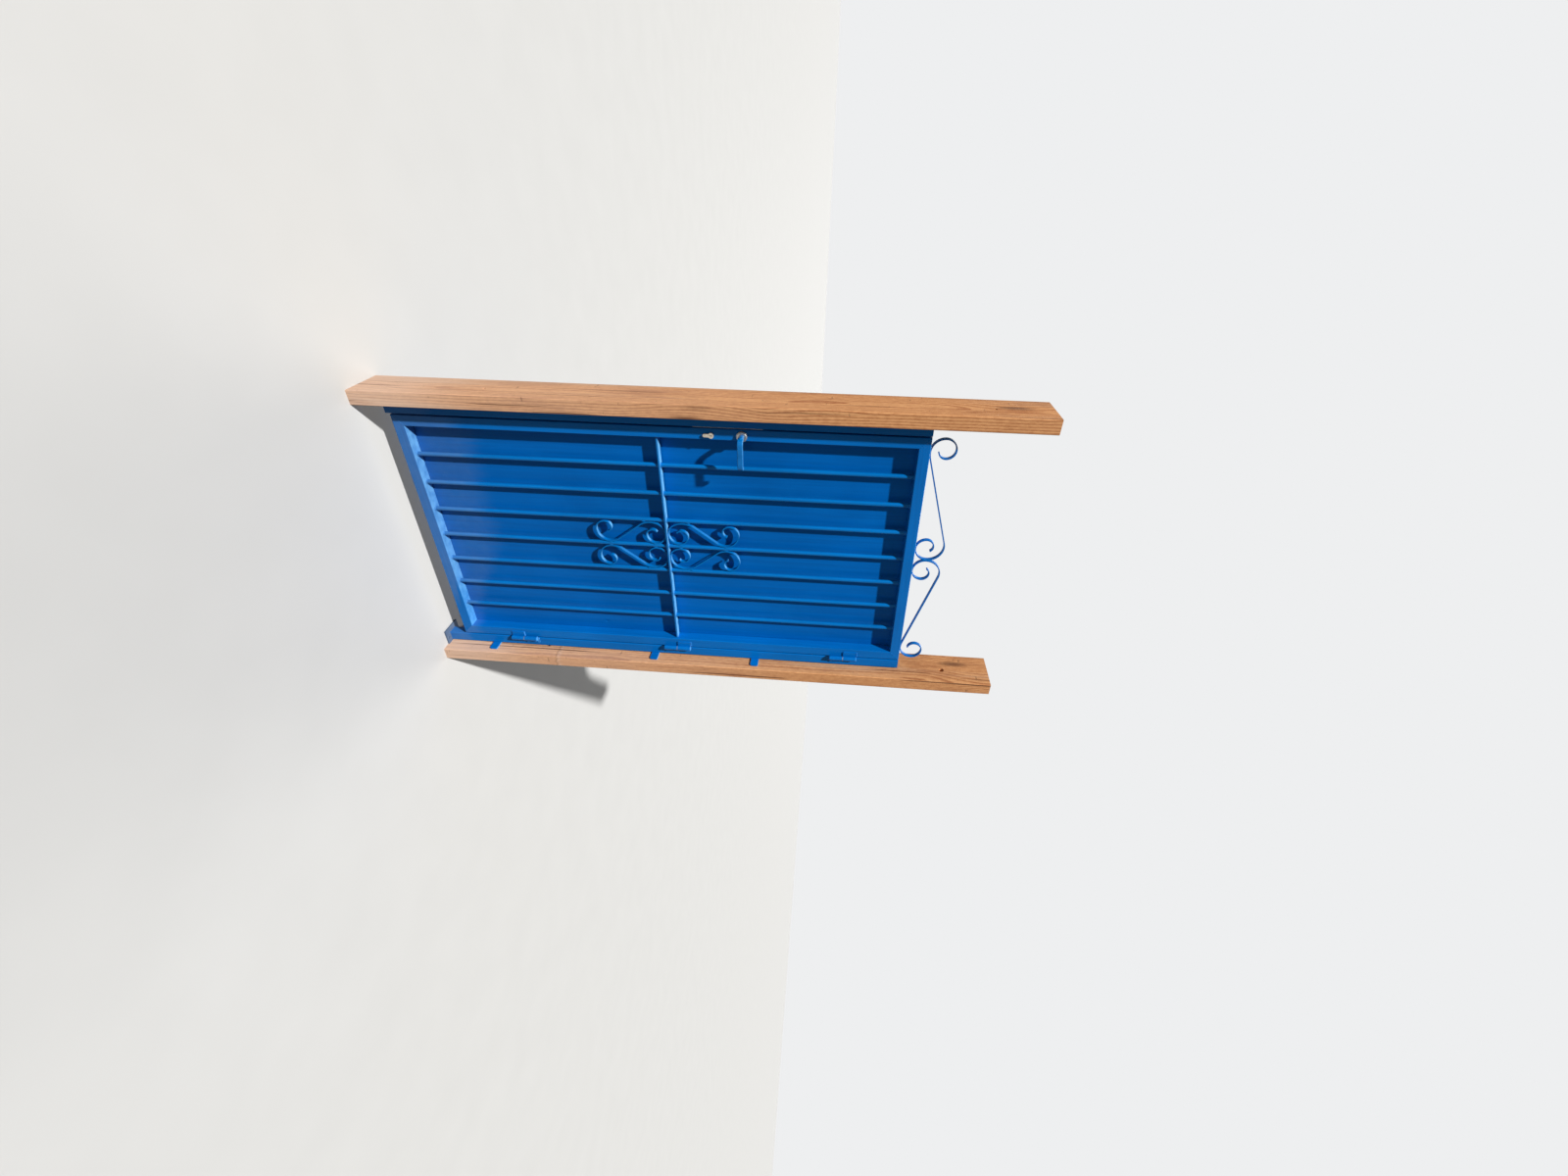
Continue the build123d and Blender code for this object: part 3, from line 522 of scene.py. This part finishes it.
def ringBead(centre, radius, size, pitch, seed):
    # path = centre + radius * (cos a, sin a, 0), with radius of the bead = size * (1 - depth +
    # depth * |sin of the coins| + lean * sin 2a)
    turns = round(2 * math.pi * radius / pitch)
    a = np.linspace(0, 2 * np.pi, turns * coins["rows"], endpoint=False)
    ripple = 1 - coins["depth"] + coins["depth"] * np.abs(np.sin(a * turns / 2))
    radii = size * (ripple + coins["lean"] * np.sin(2 * a + seed))
    path = np.asarray(centre) + radius * np.stack([np.cos(a), np.sin(a), 0 * a], 1)
    return bead(path, radii, (0, 0, 1), closed=True)


def addPiece(name, shells, finish, body):
    # several closed shells as one smooth mesh that rides on a body
    points, faces, start = [], [], 0
    for shellPoints, quads, triangles in shells:
        points.append(shellPoints)
        faces += (quads + start).tolist() + (triangles + start).tolist()
        start += len(shellPoints)
    mesh = bpy.data.meshes.new(name)
    mesh.from_pydata(np.vstack(points).tolist(), [], faces)
    mesh.polygons.foreach_set("use_smooth", [True] * len(mesh.polygons))
    mesh.materials.append(finishes[finish])
    thing = bpy.data.objects.new(name, mesh)
    bpy.context.scene.collection.objects.link(thing)
    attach(thing, body)


# Rings where the bars end at the rails, and lumpier ones above and below the cross bar; gap: from
# a bar's side to the middle of its ring; proud: how far that stands off the rail or cross bar

barWelds = {
    "weldsBarEnds": {"size": 0.0017, "pitch": 0.0045, "gap": 0.0003, "proud": 0.0003,
                     "uneven": 0.0, "seedStep": 1},
    "weldsCrossBar": {"size": 0.0021, "pitch": 0.0056, "gap": 0.0002, "proud": -0.0002,
                      "uneven": 0.12, "seedStep": 3},
}
crossLow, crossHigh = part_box("cross_bar")
for name, weld in barWelds.items():
    shells = []
    for index in range(1, 8):
        low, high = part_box(f"upright_bar_{index}")
        middle, radius = (low + high) / 2, (high[0] - low[0]) / 2
        # heights that the rings lie on, each with the way that looks off the metal there
        if name == "weldsBarEnds":
            lands = ((high[2], -1), (low[2], 1))
        else:
            lands = ((crossHigh[2], 1), (crossLow[2], -1))
        for height, off in lands:
            centre = (middle[0], middle[1], height + off * weld["proud"])
            size = weld["size"] * (1.0 + weld["uneven"] * math.sin(2.1 * index + off))
            seed = weld["seedStep"] * index + off
            shells.append(ringBead(centre, radius + weld["gap"], size, weld["pitch"], seed))
    addPiece(name, shells, "barEnamel", "leaf")


# Beads over the mitres of the leaf's four corners, front and back

mitreWelds = {
    "size": 0.0026,
    "pitch": 0.006,
    "proud": 0.0007,         # how far a bead rises out of the tube's face
    "fromCorner": 0.002,
    "fromInside": 0.001,
}
railTop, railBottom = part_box("rail_top"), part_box("rail_bottom")
railFace = railTop[1][2] - railTop[0][2]
near, far = mitreWelds["fromCorner"], railFace - mitreWelds["fromInside"]
shells = []
for cornerX, inX in ((railBottom[0][0], 1), (railTop[1][0], -1)):
    for cornerZ, inZ in ((railBottom[0][2], 1), (railTop[1][2], -1)):
        for planeY, out in ((railTop[0][1], -1), (railTop[1][1], 1)):
            y = planeY - out * (mitreWelds["size"] - mitreWelds["proud"])
            start = (cornerX + inX * near, y, cornerZ + inZ * near)
            end = (cornerX + inX * far, y, cornerZ + inZ * far)
            shells.append(straightBead(start, end, mitreWelds, (0, out, 0), cornerX * 9))
addPiece("weldsMitres", shells, "stileEnamel", "leaf")


# Tack welds of the scrollwork

tackWelds = {"size": 0.0022, "length": 0.014, "rows": 9, "ripple": 0.1}


def tack(centre, along, lift, seed):
    # a short fat bead: path = centre + along * s * length / 2, with radius = size *
    # sqrt(1 - s * s) * (1 + a slow wave)
    centre, along = np.asarray(centre, float), np.asarray(along, float)
    s = np.linspace(-1, 1, tackWelds["rows"])
    path = centre + along * s[:, None] * tackWelds["length"] / 2
    bulge = np.sqrt(np.clip(1.02 - s * s, 0.02, 1))
    wave = 1 + tackWelds["ripple"] * np.sin(5 * s + seed)
    return bead(path, tackWelds["size"] * bulge * wave, lift)


scrollTacks = {
    "sides": ((-1, 0.81), (1, 0.3), (-1, 0.17)),    # inner or outer side, share of the height
    "clear": 0.0014,         # outside the scroll's side
    "depth": 0.0012,         # behind its front
    "foot": 0.45,            # share of the width
    "footSpread": 0.006,
    "footDepth": 0.004,
    "footLift": 0.0008,
    "footShort": 0.55,       # share of a whole tack's length
}
shells = []
for index, name in enumerate(("scroll_upper_left", "scroll_upper_right",
                              "scroll_lower_left", "scroll_lower_right")):
    low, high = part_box(name)
    out = -1 if "left" in name else 1
    up = 1 if "upper" in name else -1
    inner, outer = (low[0], high[0]) if out > 0 else (high[0], low[0])
    base = low[2] if up > 0 else high[2]
    front = low[1] + scrollTacks["depth"]
    footY, footZ = front + scrollTacks["footDepth"], base + up * scrollTacks["footLift"]
    for side, share in scrollTacks["sides"]:
        x = (outer if side > 0 else inner) + side * out * scrollTacks["clear"]
        centre = (x, front, base + up * share * (high[2] - low[2]))
        shells.append(tack(centre, (0, 0, 1), (0, 1, 0), index + share))
    foot = inner + out * (high[0] - low[0]) * scrollTacks["foot"]
    for shift in (-scrollTacks["footSpread"], scrollTacks["footSpread"]):
        along = (0, scrollTacks["footShort"], 0)
        shells.append(tack((foot + shift, footY, footZ), along, (0, 0, 1), index + shift))
addPiece("weldsScrolls", shells, "scrollEnamel", "leaf")

crownTacks = {
    "fromOuter": 0.044,      # from the crown's ends to its feet
    "fromInner": 0.045,
    "spread": 0.005,
    "lift": 0.0006,
    "short": 0.65,
    "meetHeight": 0.043,     # where the two halves touch
    "meetInset": 0.002,
    "meetShort": 0.6,
}
shells = []
for index, name in enumerate(("crown_left", "crown_right")):
    low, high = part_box(name)
    out = -1 if name == "crown_left" else 1
    inner, outer = (low[0], high[0]) if out > 0 else (high[0], low[0])
    for x in (outer - out * crownTacks["fromOuter"], inner + out * crownTacks["fromInner"]):
        for shift in (-crownTacks["spread"], crownTacks["spread"]):
            centre = (x + shift, (low[1] + high[1]) / 2, low[2] + crownTacks["lift"])
            shells.append(tack(centre, (0, crownTacks["short"], 0), (0, 0, 1), index + shift))
    if name == "crown_left":
        for y in (low[1] + crownTacks["meetInset"], high[1] - crownTacks["meetInset"]):
            centre = (inner, y, low[2] + crownTacks["meetHeight"])
            shells.append(tack(centre, (0, 0, crownTacks["meetShort"]), (0, 1, 0), y * 100))
addPiece("weldsCrown", shells, "crownEnamel", "leaf")
print("stage: welds on the leaf")


# Beads along the free edges of the hinge wings, where they lie on the tubes

wingWelds = {"size": 0.0019, "pitch": 0.004, "reach": 0.021, "short": 0.001}
surface = railTop[0][1]
for owner, body in (("leaf", "leaf"), ("post", "frame")):
    shells = []
    for seed, level in enumerate(("low", "middle", "top")):
        low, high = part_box(f"{owner}_knuckle_{level}")
        edge, inwards = (low[0], 1) if owner == "leaf" else (high[0], -1)
        inner = edge + inwards * wingWelds["reach"]
        start = (edge, surface, low[2] + wingWelds["short"])
        end = (edge, surface, high[2] - wingWelds["short"])
        shells.append(straightBead(start, end, wingWelds, (0, -1, 0), seed))
        for height in (low[2], high[2]):
            start, end = (edge, surface, height), (inner, surface, height)
            shells.append(straightBead(start, end, wingWelds, (0, -1, 0), seed + height))
    addPiece(f"weldsHinges_{owner}", shells, "fittingEnamel", body)


# Beads above and below each fixing lug, and round the foot of the hinge post

lugWelds = {"size": 0.0018, "pitch": 0.0045, "fromFront": 0.004, "fromEnd": 0.002}
shells = []
for side, post, out in (("left", "lock_post", -1), ("right", "hinge_post", 1)):
    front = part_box(post)[0][1] + lugWelds["fromFront"]
    for seed, level in enumerate(("low", "middle", "top")):
        low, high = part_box(f"fixing_lug_{side}_{level}")
        x = low[0] if out > 0 else high[0]
        for height in (low[2], high[2]):
            start, end = (x, front, height), (x, high[1] - lugWelds["fromEnd"], height)
            shells.append(straightBead(start, end, lugWelds, (out, 0, 0), seed + out))
addPiece("weldsLugs", shells, "fittingEnamel", "frame")

footWelds = {"size": 0.0022, "pitch": 0.005, "fromCorner": 0.003}
low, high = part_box("hinge_post")
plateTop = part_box("foot_plate")[1][2]
corners = [(low[0], low[1]), (high[0], low[1]), (high[0], high[1]), (low[0], high[1])]
shells = []
for index, (start, end) in enumerate(zip(corners, corners[1:] + corners[:1])):
    towards = np.sign(np.subtract(end, start)) * footWelds["fromCorner"]
    start, end = (*np.add(start, towards), plateTop), (*np.subtract(end, towards), plateTop)
    shells.append(straightBead(start, end, footWelds, (0, 0, 1), index))
addPiece("weldsFoot", shells, "footEnamel", "frame")
print("stage: welds on the frame")


# Floor, light and camera

studio = {
    "floorReach": 80,                      # metres, far enough for a level horizon
    "floorTones": (rgb(196, 195, 192), rgb(191, 190, 187)),
    "floorBounce": rgb(112, 111, 109),     # what the floor throws back at the gate
    "floorScale": 4,
    "floorRoughness": 0.85,
    "skyTone": rgb(238, 239, 240),
    "skyLight": 0.1,                       # what the sky gives, where 1 is what is seen of it
    "keyStrength": 5.1,
    "keyTravel": (0.5, 0.413, -0.715),
    "keySoftness": 2.0,                    # degrees
    "fillStrength": 1.2,
    "fillTravel": (-0.3, -0.85, -0.42),
    "fillSoftness": 40.0,
}


def straightLooks(at):
    # 1 where a ray comes from the camera, from a gloss or through glass, 0 for light that bounces
    seen = [at.node("ShaderNodeLightPath", None, None, f"Is {kind} Ray")
            for kind in ("Camera", "Glossy", "Transmission")]
    return (seen[0] + seen[1] + seen[2]).held()


def plainFloor(at):
    tone = at.noise(studio["floorScale"], 2).blend(*studio["floorTones"])
    colour = straightLooks(at).blend(studio["floorBounce"], tone)
    return {"Base Color": colour, "Roughness": studio["floorRoughness"]}


reach = studio["floorReach"]
mesh = bpy.data.meshes.new("floor")
corners = [(-reach, -reach, 0), (reach, -reach, 0), (reach, reach, 0), (-reach, reach, 0)]
mesh.from_pydata(corners, [], [(0, 1, 2, 3)])
mesh.materials.append(newFinish("floorFinish", plainFloor, {}))
floor = bpy.data.objects.new("floor", mesh)
bpy.context.scene.collection.objects.link(floor)

world = bpy.data.worlds.new("studioWorld")
bpy.context.scene.world = world
world.use_nodes = True
tree = world.node_tree
tree.nodes.clear()
air = Flow(tree, None)
strength = straightLooks(air) * (1.0 - studio["skyLight"]) + studio["skyLight"]
sky = air.node("ShaderNodeBackground", None, {"Color": studio["skyTone"], "Strength": strength})
end = tree.nodes.new("ShaderNodeOutputWorld")
tree.links.new(sky.out, end.inputs[0])


def unit(vector):
    return np.asarray(vector, float) / np.linalg.norm(vector)


def placed(thing, right, up, back, eye=(0, 0, 0)):
    # puts a lamp or the camera in the scene with these three as its own axes
    bpy.context.scene.collection.objects.link(thing)
    matrix = thing.matrix_world.copy()
    for row in range(3):
        matrix[row] = (right[row], up[row], back[row], eye[row])
    thing.matrix_world = matrix


# the key comes from the front left, and a broad weak one lights the far side
for name in ("key", "fill"):
    lamp = bpy.data.lights.new(f"{name}Light", "SUN")
    lamp.energy = studio[f"{name}Strength"]
    lamp.angle = math.radians(studio[f"{name}Softness"])
    back = -unit(studio[f"{name}Travel"])
    right = unit(np.cross((0, 0, 1), back))
    placed(bpy.data.objects.new(f"{name}Light", lamp), right, np.cross(back, right), back)


# The photograph lies on its side, so the camera is rolled a quarter turn: its right is the
# object's up
viewpoint = {
    "eye": (-1.1059, -1.7973, 1.4135),
    "ahead": (0.571, 0.819, -0.059),
    "upright": (-0.014, 0.082, 0.997),
    "focalPixels": 643.483,
    "photoWidth": 1600,
    "sensorWidth": 36.0,    # millimetres
    "nearest": 0.05,
}
camera = bpy.data.cameras.new("camera")
camera.sensor_width = viewpoint["sensorWidth"]
camera.lens = viewpoint["sensorWidth"] * viewpoint["focalPixels"] / viewpoint["photoWidth"]
camera.clip_start = viewpoint["nearest"]
ahead = unit(viewpoint["ahead"])
upright = unit(viewpoint["upright"] - np.dot(viewpoint["upright"], ahead) * ahead)
cameraObject = bpy.data.objects.new("camera", camera)
placed(cameraObject, upright, -np.cross(ahead, upright), -ahead, viewpoint["eye"])
bpy.context.scene.camera = cameraObject
bpy.context.scene.view_settings.view_transform = "Standard"
print("stage: studio set")
